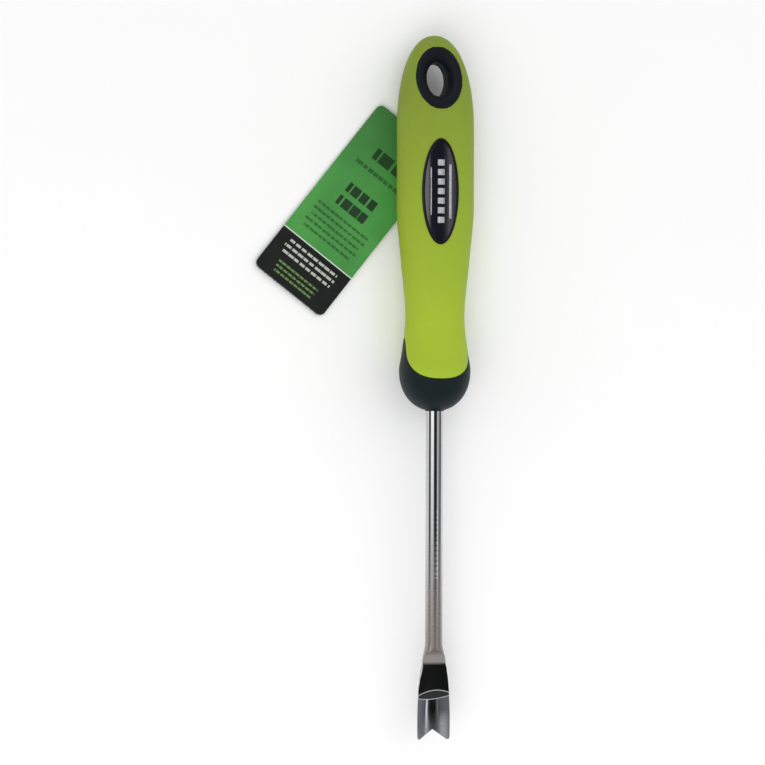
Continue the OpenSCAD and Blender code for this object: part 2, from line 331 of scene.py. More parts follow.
def useGroup(g, name, values):
    node = g.add("ShaderNodeGroup", node_tree=bpy.data.node_groups[name])
    for k, v in values.items():
        g.put(node.inputs[k], v)
    return node.outputs


def makeMouldedGroup():
    # Fine spark texture of a mould, with faint cloudiness and specks of dust
    g, gi, go = newGroup(
        "mouldedSkin",
        [("Vector", "NodeSocketVector", None), ("Grain", "NodeSocketFloat", 0.3),
         ("Depth", "NodeSocketFloat", 0.1), ("Dust", "NodeSocketFloat", 0.1)],
        [("Cloud", "NodeSocketFloat"), ("Dust", "NodeSocketFloat"), ("Normal", "NodeSocketVector")])
    fine = g.noise(gi["Vector"], 2600.0, 2.0, 0.6)
    broad = g.noise(gi["Vector"], 900.0, 1.0, 0.5)
    height = g.math("ADD", g.math("MULTIPLY", fine, gi["Grain"]), g.math("MULTIPLY", broad, 0.35))
    bump = g.add("ShaderNodeBump", {"Strength": gi["Depth"], "Distance": 0.0002, "Height": height})
    g.put(go["Normal"], bump.outputs[0])
    g.put(go["Cloud"], g.mapRange(g.noise(gi["Vector"], 38.0, 3.0, 0.55), 0.3, 0.7, 0.0, 1.0))
    specks = g.mapRange(g.noise(gi["Vector"], 1500.0, 1.0, 0.5), 0.69, 0.74, 0.0, 1.0)
    g.put(go["Dust"], g.math("MULTIPLY", specks, gi["Dust"], clamp=True))


def makePolishedGroup():
    # Faint lengthwise polishing lines and smudges on mirror-polished steel
    g, gi, go = newGroup(
        "polishedSteel",
        [("Vector", "NodeSocketVector", None), ("Base", "NodeSocketFloat", 0.1),
         ("Smudge", "NodeSocketFloat", 0.1), ("Lines", "NodeSocketFloat", 0.1)],
        [("Roughness", "NodeSocketFloat"), ("Normal", "NodeSocketVector")])
    smudge = g.mapRange(g.noise(gi["Vector"], 90.0, 3.0, 0.6), 0.4, 0.75, 0.0, 1.0)
    g.put(go["Roughness"], g.math("ADD", gi["Base"], g.math("MULTIPLY", smudge, gi["Smudge"])))
    lines = g.noise(g.scaled(gi["Vector"], (3000.0, 60.0, 3000.0)), 1.0, 2.0, 0.6)
    bump = g.add("ShaderNodeBump", {"Strength": gi["Lines"], "Distance": 0.00005, "Height": lines})
    g.put(go["Normal"], bump.outputs[0])


def makePrintGroup():
    # Rows of plain bars in place of print: 1 inside a bar
    # U and V run across and down the card in millimetres
    g, gi, go = newGroup(
        "printedBars",
        [(socket, "NodeSocketFloat", default) for socket, default in (
            ("U", 0.0), ("V", 0.0), ("Left", 2.0), ("Right", 38.0), ("Top", 10.0), ("Bottom", 20.0),
            ("Pitch", 3.0), ("Fill", 0.6), ("Word", 4.0), ("Seed", 0.0))],
        [("Mask", "NodeSocketFloat")])
    row = g.math("DIVIDE", g.math("SUBTRACT", gi["V"], gi["Top"]), gi["Pitch"])
    rowNumber = g.math("FLOOR", row)
    inRow = g.math("LESS_THAN", g.math("FRACT", row), gi["Fill"])
    across = g.math("DIVIDE", gi["U"], gi["Word"])
    wordNumber = g.math("FLOOR", across)
    seedVector = g.add("ShaderNodeCombineXYZ", {"X": wordNumber, "Y": rowNumber, "Z": gi["Seed"]})
    chance = g.add("ShaderNodeTexWhiteNoise", {"Vector": seedVector.outputs[0]}).outputs["Value"]
    gap = g.mapRange(chance, 0.0, 1.0, 0.72, 0.94)
    inWord = g.math("LESS_THAN", g.math("FRACT", across), gap)
    rowSeed = g.add("ShaderNodeCombineXYZ", {"X": rowNumber, "Y": 7.3, "Z": gi["Seed"]})
    ragged = g.add("ShaderNodeTexWhiteNoise", {"Vector": rowSeed.outputs[0]}).outputs["Value"]
    slack = g.math("MULTIPLY", ragged, g.math("MULTIPLY", gi["Word"], 0.7))
    inside = g.math("MULTIPLY", g.math("GREATER_THAN", gi["U"], g.math("ADD", gi["Left"], slack)),
                    g.math("LESS_THAN", gi["U"], g.math("SUBTRACT", gi["Right"], slack)))
    tall = g.math("MULTIPLY", g.math("GREATER_THAN", gi["V"], gi["Top"]),
                  g.math("LESS_THAN", gi["V"], gi["Bottom"]))
    g.put(go["Mask"], g.math("MULTIPLY", g.math("MULTIPLY", inRow, inWord), g.math("MULTIPLY", inside, tall)))


makeMouldedGroup()
makePolishedGroup()
makePrintGroup()


def newMaterial(name):
    material = bpy.data.materials.new(name)
    material.use_nodes = True
    material.node_tree.nodes.clear()
    g = Graph(material.node_tree)
    shader = g.add("ShaderNodeBsdfPrincipled")
    out = g.add("ShaderNodeOutputMaterial")
    g.put(out.inputs["Surface"], shader.outputs[0])
    return material, g, shader.inputs


def rubberMaterial(name, look):
    material, g, s = newMaterial(name)
    coords = g.objectCoords()
    skin = useGroup(g, "mouldedSkin", {"Vector": coords, "Grain": 1.0,
                                       "Depth": look["depth"], "Dust": look["dust"]})
    along = g.split(coords)[1]
    # Colour fades from upper to lower along Y: on the lime grip this is painted shade, its upper part darker and
    # its lower part lighter; the dark mouldings are only darker towards the top
    fade = g.mapRange(along, look["fadeFrom"], look["fadeTo"], 0.0, 1.0)
    base = g.mix(fade, look["upper"], look["lower"])
    base = g.mix(g.math("MULTIPLY", skin["Cloud"], look["cloud"]), base, look["cloudColour"])
    g.put(s["Base Color"], g.mix(skin["Dust"], base, look["dustColour"]))
    s["Roughness"].default_value = look["roughness"]
    s["Specular IOR Level"].default_value = look["specular"]
    s["Sheen Weight"].default_value = look["sheen"]
    s["Sheen Roughness"].default_value = 0.5
    g.put(s["Normal"], skin["Normal"])
    return material


# The lime's upper and lower colours are painted shade: the grip darker at the top, lighter at the bottom
lime = {
    "upper": (0.205, 0.275, 0.030, 1), "lower": (0.37, 0.50, 0.030, 1), "fadeFrom": -0.01, "fadeTo": -0.115,
    "cloud": 0.3, "cloudColour": (0.25, 0.40, 0.03, 1), "dust": 0.05, "dustColour": (0.5, 0.58, 0.25, 1),
    "roughness": 0.6, "specular": 0.2, "sheen": 0.0, "depth": 0.25,
}
charcoal = {
    "upper": (0.006, 0.008, 0.012, 1), "lower": (0.009, 0.016, 0.018, 1), "fadeFrom": -0.05, "fadeTo": -0.15,
    "cloud": 0.3, "cloudColour": (0.012, 0.02, 0.022, 1), "dust": 0.05, "dustColour": (0.07, 0.08, 0.08, 1),
    "roughness": 0.5, "specular": 0.14, "sheen": 0.0, "depth": 0.25,
}
bezelLook = {
    "upper": (0.004, 0.005, 0.008, 1), "lower": (0.004, 0.005, 0.008, 1), "fadeFrom": -0.02, "fadeTo": -0.08,
    "cloud": 0.2, "cloudColour": (0.007, 0.009, 0.012, 1), "dust": 0.03, "dustColour": (0.06, 0.06, 0.07, 1),
    "roughness": 0.28, "specular": 0.3, "sheen": 0.0, "depth": 0.12,
}
limeRubber = rubberMaterial("limeRubber", lime)
charcoalRubber = rubberMaterial("charcoalRubber", charcoal)
bezelBlack = rubberMaterial("bezelBlack", bezelLook)


def makeGripSleeve():
    h = handle
    rows = []
    roll = seam["roll"]
    for depth, back in ((1.6, 0.05), (0.6, 0.0), (0.22, 0.03), (0.05, 0.15), (0.0, roll)):
        ring = []
        for a, low in zip(angles, seams):
            p = Vector(skinPoint(low + back, a)) - outwardAt(low + back, a) * depth
            ring.append(list(p))
        rows.append(ring)
    steps = 190
    for j in range(1, steps + 1):
        t = j / steps
        share = 0.5 * t + 0.5 * math.sin(math.pi / 2 * t)
        ring = []
        for a, low in zip(angles, seams):
            start = low + roll
            up = start + (h["length"] - 0.03 - start) * share
            p = Vector(skinPoint(up, a))
            p += outwardAt(up, a) * surfaceRise(*p)
            ring.append(list(p))
        rows.append(ring)
    bm = bmesh.new()
    addRings(bm, rows, capEnd=True)
    # The hang hole: faces inside the eyelet's oval go, and the edge left behind is drawn to a clean oval
    inner = 0.93
    doomed = []
    for f in bm.faces:
        x, y, _ = f.calc_center_median()
        if ovalShare(x * 1000, y * 1000, eyelet) < inner:
            doomed.append(f)
    bmesh.ops.delete(bm, geom=doomed, context="FACES")
    for v in bm.verts:
        if v.is_boundary:
            x, y, z = [c * 1000 for c in v.co]
            s = ovalShare(x, y, eyelet)
            if s < 1.3 and abs(z - axisZ) > 2:
                x, y = x * inner / s, y * inner / s
                v.co = Vector((x, y, surfaceZ(x, y, 1 if z > 0 else -1))) / 1000
    # The rolled lower edge and the hole's edges are turned in, so that no open edge shows
    rims = [e for e in bm.edges if e.is_boundary]
    turned = bmesh.ops.extrude_edge_only(bm, edges=rims)["geom"]
    for v in [g for g in turned if isinstance(g, bmesh.types.BMVert)]:
        x, y, z = [c * 1000 for c in v.co]
        towards = Vector((x, y, middleZ(y - h["noseY"])))
        if ovalShare(x, y, eyelet) > 1.3:
            towards = Vector((0, y, axisZ))
        v.co = v.co.lerp(towards / 1000, 0.12)
    return makePiece("gripSleeve", bm, limeRubber, "tool", "grip_sleeve")


def makeEndBolster():
    h = handle
    rows = []
    boreRadius = barRadius + 0.15
    for r, up in ((boreRadius, 2.5), (boreRadius, 0.35), (boreRadius + 0.12, 0.1)):
        rows.append([[r * math.cos(a), h["noseY"] + up, axisZ + r * math.sin(a)] for a in angles])
    # The first level where the rounded nose is wider than the bore
    startUp = next(k * 0.01 for k in range(1, 400) if halfSize(k * 0.01, 1) > boreRadius + 0.3)
    steps = 90
    for j in range(steps + 1):
        t = j / steps
        share = 0.4 * t + 0.6 * (1 - math.cos(math.pi / 2 * t))
        ring = []
        for a, high in zip(angles, seams):
            end = high - seam["gap"] - seam["roll"]
            ring.append(skinPoint(startUp + (end - startUp) * share, a))
        rows.append(ring)
    for depth, back in ((0.05, 0.15), (0.22, 0.03), (0.6, 0.0), (1.6, 0.0)):
        ring = []
        for a, high in zip(angles, seams):
            up = high - seam["gap"] - back
            ring.append(list(Vector(skinPoint(up, a)) - outwardAt(up, a) * depth))
        rows.append(ring)
    bm = bmesh.new()
    addRings(bm, rows)
    return makePiece("endBolster", bm, charcoalRubber, "tool", "end_bolster")


def makeHangEyelet():
    e = eyelet
    count = 112
    # The rim, from the outer oval to the mouth of the flare: (share of the way, height above the grip)
    rim = [(0.0, -0.9), (0.02, 0.05), (0.12, 0.22), (0.3, 0.3), (0.6, 0.3), (0.85, 0.28)]
    flareSteps = 14

    def ringPoint(angle, width, length):
        return width * math.cos(angle), length * math.sin(angle)

    rings = []
    for i in range(count):
        a = 2 * math.pi * i / count
        loop = []
        for side in (1, -1):
            part = []
            mouth = ringPoint(a, e["halfWidth"] - e["rim"], e["halfLength"] - e["rim"])
            mouthZ = surfaceZ(*mouth, side) + side * 0.2
            for share, height in rim:
                w = e["halfWidth"] - e["rim"] * share
                l = e["halfLength"] - e["rim"] * share
                x, y = ringPoint(a, w, l)
                part.append([x, y, surfaceZ(x, y, side) + side * height])
            for k in range(flareSteps + 1):
                phi = math.pi / 2 * k / flareSteps
                grow = 1 - math.sin(phi)
                w = e["throatHalfWidth"] + (e["halfWidth"] - e["rim"] - e["throatHalfWidth"]) * grow
                l = e["throatHalfLength"] + (e["halfLength"] - e["rim"] - e["throatHalfLength"]) * grow
                x, y = ringPoint(a, w, l)
                throatZ = side * e["throatDepth"]
                part.append([x, y, throatZ + (mouthZ - throatZ) * math.cos(phi) ** 0.9])
            loop += part if side == 1 else list(reversed(part))
        rings.append(loop)
    bm = bmesh.new()
    addRings(bm, rings, wrap=True)
    return makePiece("hangEyelet", bm, charcoalRubber, "tool", "hang_eyelet")


# Plain foil marks: a row of blocks along the middle, a thin bar and a broad bar
foil = {
    "blocks": 7,
    "block": (3.2, 2.8),    # width and length
    "step": 4.4,
    "bars": ((-4.6, 0.5, 22.0), (4.4, 1.2, 25.0)),    # x, width and length
    "lift": 0.03,
    "thick": 0.05,
    "rows": 12,
}


def ovalPoint(angle, width, length):
    return width * math.cos(angle), badge["middleY"] + length * math.sin(angle)


def onGrip(x, y, height):
    return [x, y, surfaceZ(x, y) + height]


def badgeMaterials():
    black, g, s = newMaterial("badgeBlack")
    coords = g.objectCoords()
    s["Base Color"].default_value = (0.006, 0.007, 0.012, 1)
    dust = g.mapRange(g.noise(coords, 2200.0, 1.0), 0.72, 0.76, 0.0, 0.12)
    haze = g.math("MULTIPLY", g.noise(coords, 160.0), 0.08)
    g.put(s["Roughness"], g.math("ADD", 0.12, g.math("ADD", dust, haze)))
    s["Coat Weight"].default_value = 1.0
    s["Coat Roughness"].default_value = 0.05
    silver, g, s = newMaterial("silverFoil")
    coords = g.objectCoords()
    tone = g.mapRange(g.noise(coords, 700.0, 2.0), 0.3, 0.7, 0.0, 1.0)
    g.put(s["Base Color"], g.mix(tone, (0.42, 0.43, 0.46, 1), (0.62, 0.63, 0.66, 1)))
    s["Metallic"].default_value = 0.35
    g.put(s["Roughness"], g.mapRange(tone, 0.0, 1.0, 0.38, 0.5))
    return black, silver


def makeBadge():
    b = badge
    black, silver = badgeMaterials()
    count = 128
    rimProfile = [(0.0, -0.8), (0.0, -0.05), (0.05, 0.2), (0.22, 0.38), (0.5, 0.42), (0.78, 0.36),
                  (0.95, 0.2), (1.0, 0.05), (1.0, -0.8)]
    rings = []
    for i in range(count):
        a = 2 * math.pi * i / count
        loop = []
        for share, height in rimProfile:
            x, y = ovalPoint(a, b["halfWidth"] - b["rim"] * share, b["halfLength"] - b["rim"] * share)
            loop.append(onGrip(x, y, height))
        rings.append(loop)
    bm = bmesh.new()
    addRings(bm, rings, wrap=True)
    makePiece("badgeBezel", bm, bezelBlack, "tool", "badge_bezel")

    plateWidth, plateLength = b["halfWidth"] - b["rim"] - 0.05, b["halfLength"] - b["rim"] - 0.05

    def plateHeight(x, y):
        s = min(1.0, math.hypot(x / plateWidth, (y - b["middleY"]) / plateLength))
        return 0.12 + b["dome"] * (1 - s * s)

    rings = []
    for s in [1.0, 1.0] + [math.cos(math.pi / 2 * k / 18) for k in range(1, 18)]:
        ring = []
        for i in range(count):
            x, y = ovalPoint(2 * math.pi * i / count, plateWidth * s, plateLength * s)
            ring.append(onGrip(x, y, plateHeight(x, y)))
        rings.append(ring)
    rings[0] = [[p[0], p[1], p[2] - 0.6] for p in rings[0]]
    bm = bmesh.new()
    rows = addRings(bm, rings, capStart=True)
    middle = bm.verts.new([c / 1000 for c in onGrip(0, b["middleY"], plateHeight(0, b["middleY"]))])
    for i in range(count):
        bm.faces.new((rows[-1][i], rows[-1][(i + 1) % count], middle))
    makePiece("badgePlate", bm, black, "tool", "badge_plate")

    marks = []
    for k in range(foil["blocks"]):
        marks.append((0.0, (k - (foil["blocks"] - 1) / 2) * foil["step"]) + foil["block"])
    marks += [(x, 0.0, width, length) for x, width, length in foil["bars"]]
    bm = bmesh.new()
    for x, y, width, length in marks:
        rings = []
        for j in range(foil["rows"] + 1):
            rowY = b["middleY"] + y + length * (j / foil["rows"] - 0.5)
            loop = []
            for side, lift in ((-1, 0), (-1, 1), (1, 1), (1, 0)):
                rowX = x + side * width / 2
                rise = plateHeight(rowX, rowY) + foil["lift"] + lift * foil["thick"]
                loop.append(onGrip(rowX, rowY, rise))
            rings.append(loop)
        addRings(bm, rings, capStart=True, capEnd=True)
    makePiece("badgeFoil", bm, silver, "tool", "badge_foil")


tang = {
    "tip": 0.5,
    "earMiddle": 86.5,    # up from the nose of the handle
    "earLength": 9.0,
    "earSlope": 2.0,
    "earHalfWidth": 6.0,
    "earHalfThick": 2.2,
    "bareFrom": 6.0,      # up from the nose, where the plain bar's rings start
    "ringStep": 4.0,
}
blade = {
    "startY": handle["noseY"] - mounts["bar"]["dims"]["length_mm"],
    "endY": boxes["forged_bar"][0][1],
    "halfWidth": boxes["forged_bar"][1][0],
    "thick": 2.2,
    "flatTop": 0.4,
    "rampStart": 2.8,
    "rampEnd": 9.4,
    "creaseTop": 22.4,
    "creaseCurve": 2.0,
    "creaseFoot": 26.9,
    "footCurve": 1.4,
    "tilt": 0.09,
    # Half-width of the painted highlight lines along the creases
    "crease": 0.17,
    "facetHighlight": 0.7,
    "dishDepth": 2.9,
    "notchDepth": 4.5,
    "notchHalf": 6.2,
    "pointRadius": 1.4,
    "around": 120,
}


steelLook = {
    "bar": (0.57, 0.57, 0.58, 1),
    "neck": (0.33, 0.30, 0.28, 1),
    # Painted shadow at the ramp's head and painted light at its foot
    "rampShadowHead": (0.30, 0.27, 0.25, 1),
    "rampLitFoot": (0.62, 0.57, 0.53, 1),
    # Colour of the painted highlights on the dish creases and the facet
    "wearAndHighlight": (0.72, 0.72, 0.71, 1),
    "etch": (0.92, 0.92, 0.90, 1),
    "etchStrength": 0.75,
    "etchFrom": 0.030,       # metres up from the start of the blade
    "etchTo": 0.062,
    "etchHalfWidth": 0.0009,
    "dashesPerMetre": 420.0,
    "dashFill": 0.62,
}


def bladeOutline(down):
    # (half width, front rise, back rise, squareness) of the forging before it is flattened
    r, w = barRadius, blade["halfWidth"]
    keys = [
        (-1.0, r, r, -r, 2.0), (0.6, r, r, -r, 2.0), (2.4, r * 1.06, r, -r * 0.97, 2.05),
        (4.4, r * 1.17, r * 0.97, -r * 0.86, 2.15), (6.6, w * 0.67, r * 0.9, -r * 0.72, 2.4),
        (9.4, w * 0.72, r * 0.8, -2.3, 3.0), (13.4, w * 0.82, 1.4, -1.9, 4.0),
        (17.4, w * 0.89, 1.3, -1.85, 4.5), (22.9, w * 0.95, 1.2, -1.8, 5.0),
        (32.9, w, 1.0, -1.75, 6.0), (60.0, w, 1.0, -1.75, 6.0),
    ]
    if down <= keys[0][0]:
        return keys[0][1:]
    for a, b in zip(keys, keys[1:]):
        if down <= b[0]:
            u = smoothStep((down - a[0]) / (b[0] - a[0])) * 0.35 + 0.65 * (down - a[0]) / (b[0] - a[0])
            return tuple(p + (q - p) * u for p, q in zip(a[1:], b[1:]))
    return keys[-1][1:]


def bladeBend(x, down, half):
    # How far the blade sinks into its dish
    s = x / half
    tilted = down + blade["tilt"] * x
    top = blade["creaseTop"] + blade["creaseCurve"] * s * s
    foot = blade["creaseFoot"] - blade["footCurve"] * s * s
    share = max(0.0, min(1.0, (tilted - top) / max(0.2, foot - top)))
    return blade["dishDepth"] * share * (1 - abs(s) ** 2.2)


def bladeEnd(x):
    # How far down the blade reaches at x: two rounded points with a notch between them
    full = blade["startY"] - blade["endY"]
    w, r = blade["halfWidth"], blade["pointRadius"]
    ax = abs(x)
    tip = w - r
    notch = full - blade["notchDepth"] * max(0.0, 1 - ax / blade["notchHalf"])
    if ax > tip:
        return min(notch, full - r + math.sqrt(max(0.0, r * r - (ax - tip) ** 2)))
    return notch


def steelMaterial():
    material, g, s = newMaterial("polishedStainless")
    coords = g.objectCoords()
    x, y, z = g.split(coords)
    startY, endY = blade["startY"] / 1000, blade["endY"] / 1000
    # The forged neck and the ground end of the blade are duller than the drawn bar
    neck = g.math("MULTIPLY", g.mapRange(y, startY + 0.050, startY + 0.002, 0.0, 1.0),
                  g.mapRange(y, startY - 0.0105, startY - 0.0095, 0.0, 1.0))
    ground = g.mapRange(y, endY + 0.014, endY + 0.004, 0.0, 1.0)
    grit = g.noise(coords, 2400.0, 3.0, 0.7)
    dull = g.math("MAXIMUM", g.math("MULTIPLY", neck, 0.26), g.math("MULTIPLY", ground, 0.24))
    steel = useGroup(g, "polishedSteel", {"Vector": coords, "Base": 0.07, "Smudge": 0.08, "Lines": 0.12})
    rough = g.math("ADD", steel["Roughness"], g.math("MULTIPLY", dull, g.mapRange(grit, 0.3, 0.7, 0.6, 1.3)))
    g.put(s["Roughness"], rough)
    # Painted highlights: bright lines along the creases of the dish and a bright strip on the left side of the
    # flat
    b, look = blade, steelLook
    across = g.math("MULTIPLY", x, 1000.0)
    down = g.math("MULTIPLY", g.math("SUBTRACT", startY, y), 1000.0)
    square = g.math("POWER", g.math("ABSOLUTE", g.math("DIVIDE", across, b["halfWidth"])), 2.0)
    tilted = g.math("ADD", down, g.math("MULTIPLY", across, b["tilt"]))
    top = g.math("ADD", b["creaseTop"], g.math("MULTIPLY", square, b["creaseCurve"]))
    foot = g.math("SUBTRACT", b["creaseFoot"], g.math("MULTIPLY", square, b["footCurve"]))
    creaseHighlights = []
    for at in (top, foot):
        away = g.math("ABSOLUTE", g.math("SUBTRACT", tilted, at))
        creaseHighlights.append(g.math("LESS_THAN", away, b["crease"]))
    edgeAt = g.mapRange(down, 6.6, 17.4, -0.67 * b["halfWidth"], -0.89 * b["halfWidth"])
    # The painted highlight strip on the facet narrows to nothing at both of its ends
    facetStarts = g.mapRange(down, 8.5, 11.0, 0.0, 1.0)
    facetEnds = g.mapRange(down, 20.0, 14.0, 0.0, 1.0)
    facetWidth = g.math("MULTIPLY", b["facetHighlight"], g.math("MULTIPLY", facetStarts, facetEnds))
    facetHighlight = g.math("LESS_THAN", across, g.math("ADD", edgeAt, facetWidth))
    facetHighlight = g.math("MULTIPLY", facetHighlight, g.math("GREATER_THAN", facetWidth, 0.02))
    _, lean, rise = g.split(g.add("ShaderNodeNewGeometry").outputs["Normal"])
    facing = g.math("GREATER_THAN", rise, 0.3)
    paintedHighlight = g.math("MULTIPLY", g.math("MAXIMUM", g.math("MAXIMUM", *creaseHighlights), facetHighlight), facing)
    dullNeckAndHighlight = g.math("MAXIMUM", g.math("MULTIPLY", neck, 0.36), g.math("MULTIPLY", paintedHighlight, 0.6))
    g.put(s["Metallic"], g.math("SUBTRACT", 1.0, dullNeckAndHighlight))
    # Plain etched dashes part-way down the bar
    phase = g.math("FRACT", g.math("MULTIPLY", y, look["dashesPerMetre"]))
    dash = g.math("MULTIPLY", g.math("LESS_THAN", phase, look["dashFill"]),
                  g.math("MULTIPLY", g.math("GREATER_THAN", y, startY + look["etchFrom"]),
                         g.math("LESS_THAN", y, startY + look["etchTo"])))
    dash = g.math("MULTIPLY", dash, g.math("LESS_THAN", g.math("ABSOLUTE", x), look["etchHalfWidth"]))
    front = g.math("GREATER_THAN", z, axisZ / 1000)
    etch = g.math("MULTIPLY", g.math("MULTIPLY", dash, front), look["etchStrength"])
    tint = g.mix(neck, look["bar"], look["neck"])
    # The ramp is what leans down the blade: painted shade, a dark shadow line at its rounded head, and painted
    # light towards its foot
    ramp = g.math("MULTIPLY", g.math("LESS_THAN", lean, -0.25), g.math("LESS_THAN", down, b["rampEnd"]))
    rampLightFade = g.mapRange(down, b["rampStart"] + 0.9, b["rampStart"] + 3.4, 0.0, 1.0)
    paintedRampShade = g.mix(rampLightFade, look["rampShadowHead"], look["rampLitFoot"])
    tint = g.mix(g.math("MULTIPLY", ramp, facing), tint, paintedRampShade)
    # Painted highlight colour laid on the creases and the facet
    tint = g.mix(paintedHighlight, tint, look["wearAndHighlight"])
    g.put(s["Base Color"], g.mix(etch, tint, look["etch"]))
    g.put(s["Normal"], steel["Normal"])
    return material


def makeForgedBar():
    b, t = blade, tang
    count = b["around"]
    tangTop = boxes["forged_bar"][1][1]
    rings = []

    def barRing(y, width=barRadius, thick=barRadius, square=2.0):
        ring = []
        for i in range(count):
            a = 2 * math.pi * i / count
            ring.append([width * signedPow(math.cos(a), 2 / square), y,
                         axisZ + thick * signedPow(math.sin(a), 2 / square)])
        return ring

    rings.append(barRing(tangTop, barRadius - t["tip"], barRadius - t["tip"]))
    rings.append(barRing(tangTop - t["tip"]))
    earTop = handle["noseY"] + t["earMiddle"] + t["earLength"] / 2
    earFoot = earTop - t["earLength"]
    rings.append(barRing(earTop + t["earSlope"]))
    rings.append(barRing(earTop, t["earHalfWidth"], t["earHalfThick"]))
    rings.append(barRing(earFoot, t["earHalfWidth"], t["earHalfThick"]))
    rings.append(barRing(earFoot - t["earSlope"]))
    y = handle["noseY"] + t["bareFrom"]
    while y > b["startY"] + 1:
        rings.append(barRing(y))
        y -= t["ringStep"]
    full = b["startY"] - b["endY"]
    bodyRows, endRows = 150, 26
    bodyEnd = full - b["notchDepth"] - 2.2
    downs = [-1 + (bodyEnd + 1) * j / bodyRows for j in range(bodyRows + 1)]
    for j in range(bodyRows + endRows + 1):
        ring = []
        for i in range(count):
            a = 2 * math.pi * i / count
            if j <= bodyRows:
                down = downs[j]
            else:
                # The last rows spread from the body to the notched end
                _, _, _, squareNow = bladeOutline(bodyEnd)
                xNow = b["halfWidth"] * signedPow(math.cos(a), 2 / squareNow)
                down = bodyEnd + (bladeEnd(xNow) - bodyEnd) * (j - bodyRows) / endRows
            half, front, back, square = bladeOutline(down)
            if j > bodyRows:
                half = b["halfWidth"]
            x = half * signedPow(math.cos(a), 2 / square)
            z = (front + back) / 2 + (front - back) / 2 * signedPow(math.sin(a), 2 / square)
            if math.sin(a) > 0 and down > b["rampStart"] - 0.3:
                u = (down - b["rampStart"]) / (b["rampEnd"] - b["rampStart"])
                plane = barRadius + 0.2 + (b["flatTop"] - barRadius - 0.2) * min(1.0, u)
                z = min(z, plane)
            if math.sin(a) < 0:
                floorRise = b["flatTop"] - b["thick"]
                if down > b["rampEnd"]:
                    z = max(z, floorRise - 0.05)
            bend = bladeBend(x, down, half)
            # The underside of the points is ground away to a thin edge
            thin = smoothStep((down - bladeEnd(x) + 3.2) / 3.2) if down > bodyEnd else 0.0
            if math.sin(a) < 0:
                z += thin * 1.0
            ring.append([x, b["startY"] - down, axisZ + z - bend])
        rings.append(ring)
    bm = bmesh.new()
    rows = addRings(bm, rings, capStart=True)
    # The end face joins the front of the last ring to its back
    last = rows[-1]
    half = count // 2
    for i in range(half):
        top1, top2 = last[i], last[(i + 1) % count]
        low1, low2 = last[(count - i) % count], last[(count - i - 1) % count]
        corners = []
        for v in (top1, top2, low2, low1):
            if v not in corners:
                corners.append(v)
        if len(corners) > 2:
            bm.faces.new(corners)
    return makePiece("forgedBar", bm, steelMaterial(), "tool", "forged_bar")


tag = {
    "width": 40.6,
    "length": 97.5,
    "thick": 0.45,
    "corner": 3.0,
    "hole": 2.0,
    "holeDown": 6.5,
    "angle": math.radians(38),
    "bottomZ": boxes["tag_card"][0][2],
    "curl": 0.7,
    "lineAt": 0.757,      # share of the card's length above the pale line
    # Rows of dark bars: strength, then left, right, top, bottom, pitch, fill, word and seed
    "darkBars": (
        (0.85, (7, 38, 17.0, 23.0, 7.0, 0.84, 8, 1)),
        (0.6, (6, 36, 27.0, 30.0, 3.2, 0.6, 3, 2)),
        (0.9, (10, 31, 38.0, 50.6, 7.5, 0.66, 5, 3)),
        (0.6, (5, 36, 54.0, 70.0, 3.2, 0.4, 2.6, 4)),
    ),
}


cardInks = {
    "green": ((0.050, 0.265, 0.048, 1), (0.068, 0.345, 0.062, 1)),
    "handleShadowGreen": (0.040, 0.165, 0.038, 1),
    "black": ((0.005, 0.007, 0.007, 1), (0.010, 0.013, 0.012, 1)),
    "dark": (0.008, 0.022, 0.012, 1),
    "pale": (0.45, 0.48, 0.42, 1),
    "leaf": (0.13, 0.24, 0.06, 1),
    "line": (0.6, 0.66, 0.6, 1),
    "board": (0.62, 0.62, 0.58, 1),
}


def cardMaterial():
    material, g, s = newMaterial("printedCard")
    uv = g.add("ShaderNodeUVMap", uv_map="cardMm").outputs[0]
    u, v, _ = g.split(uv)
    across, down = g.math("MULTIPLY", u, 100.0), g.math("MULTIPLY", v, 100.0)
    lineV = tag["length"] * tag["lineAt"]
    coords = g.objectCoords()
    fibre = g.noise(coords, 900.0, 3.0, 0.6)
    cloud = g.mapRange(g.noise(coords, 45.0, 2.0), 0.3, 0.7, 0.0, 1.0)
    green = g.mix(cloud, *cardInks["green"])
    # Painted shadow of the handle: the green darkens towards the top of the card
    green = g.mix(g.mapRange(down, 30.0, 0.0, 0.0, 0.75), green, cardInks["handleShadowGreen"])
    black = g.mix(cloud, *cardInks["black"])
    lowPart = g.math("GREATER_THAN", down, lineV)
    base = g.mix(lowPart, green, black)

    def bars(left, right, top, bottom, pitch, fill, word, seed):
        return useGroup(g, "printedBars", {
            "U": across, "V": down, "Left": left, "Right": right, "Top": top, "Bottom": bottom,
            "Pitch": pitch, "Fill": fill, "Word": word, "Seed": seed})["Mask"]

    for strength, args in tag["darkBars"]:
        base = g.mix(g.math("MULTIPLY", bars(*args), strength), base, cardInks["dark"])
    base = g.mix(bars(5, 36, lineV + 3.0, lineV + 11.5, 3.0, 0.42, 3.4, 5), base, cardInks["pale"])
    base = g.mix(bars(8, 32, lineV + 14.0, lineV + 20.5, 2.4, 0.42, 2.6, 6), base, cardInks["leaf"])
    nearLine = g.math("LESS_THAN", g.math("ABSOLUTE", g.math("SUBTRACT", down, lineV)), 0.28)
    base = g.mix(nearLine, base, cardInks["line"])
    # The cut edge and the worn corners show the white board under the ink
    attribute = g.add("ShaderNodeAttribute", attribute_name="boardEdge").outputs["Fac"]
    wearAndHighlight = g.math("MULTIPLY", attribute, g.mapRange(fibre, 0.35, 0.6, 0.25, 1.0))
    g.put(s["Base Color"], g.mix(wearAndHighlight, base, cardInks["board"]))
    g.put(s["Roughness"], g.mapRange(fibre, 0.3, 0.7, 0.34, 0.46))
    s["Coat Weight"].default_value = 0.25
    s["Coat Roughness"].default_value = 0.3
    bump = g.add("ShaderNodeBump", {"Strength": 0.12, "Distance": 0.0001, "Height": fibre})
    g.put(s["Normal"], bump.outputs[0])
    return material


